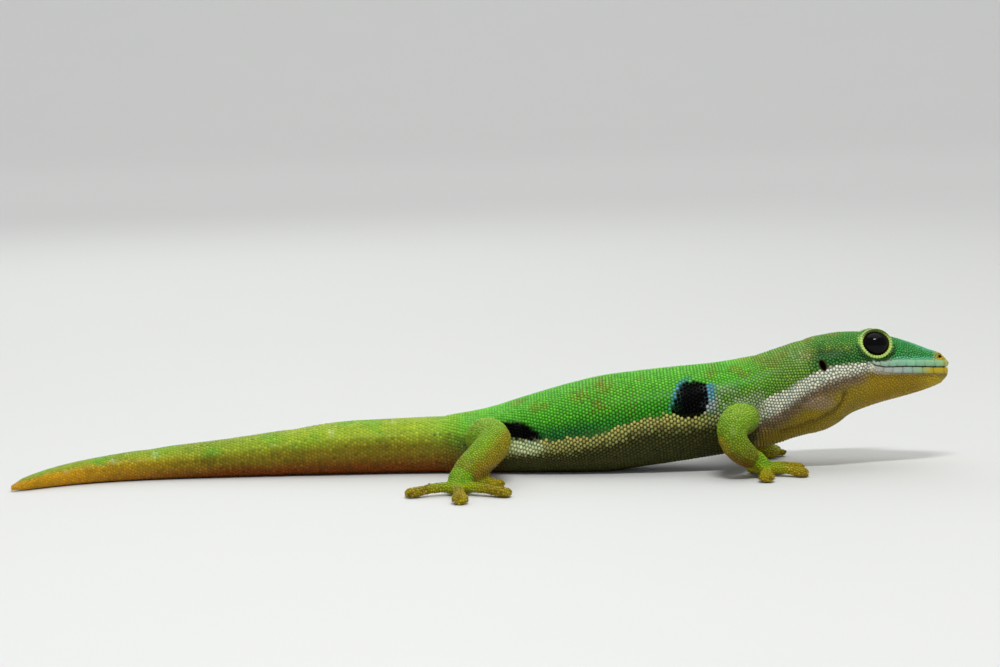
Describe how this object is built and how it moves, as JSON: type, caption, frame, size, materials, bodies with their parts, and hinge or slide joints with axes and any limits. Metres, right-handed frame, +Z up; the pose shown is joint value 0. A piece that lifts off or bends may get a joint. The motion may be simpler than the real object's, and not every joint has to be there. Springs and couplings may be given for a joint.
{
  "type": "peacock day gecko",
  "caption": "Life-size day gecko resting on the floor with its head raised, legs spread, toe pads flat and tail laid out behind.",
  "frame": {"origin": "on the floor under the middle of the whole animal's bounding box", "axes": "+X towards the snout, +Y towards the animal's left side, +Z up"},
  "size_m": [0.1058, 0.0476, 0.016],
  "materials": {
    "green_skin": "fine beaded scales, low gloss",
    "yellow_skin": "fine beaded scales, low gloss",
    "tail_skin": "fine beaded scales in rings, low gloss",
    "limb_skin": "fine beaded scales, low gloss",
    "toe_skin": "fine scales, low gloss",
    "eye": "wet and glossy black"
  },
  "bodies": {
    "root": {"head": "green_skin", "jaw": "yellow_skin", "right_eye": "eye", "left_eye": "eye", "neck": "green_skin", "torso": "green_skin", "tail_base": "tail_skin", "tail_middle": "tail_skin", "tail_tip": "tail_skin", "right_upper_arm": "limb_skin", "right_forearm": "limb_skin", "right_hand": "toe_skin", "left_upper_arm": "limb_skin", "left_forearm": "limb_skin", "left_hand": "toe_skin", "right_thigh": "limb_skin", "right_shin": "limb_skin", "right_foot": "toe_skin", "left_thigh": "limb_skin", "left_shin": "limb_skin", "left_foot": "toe_skin"}
  },
  "joints": []
}
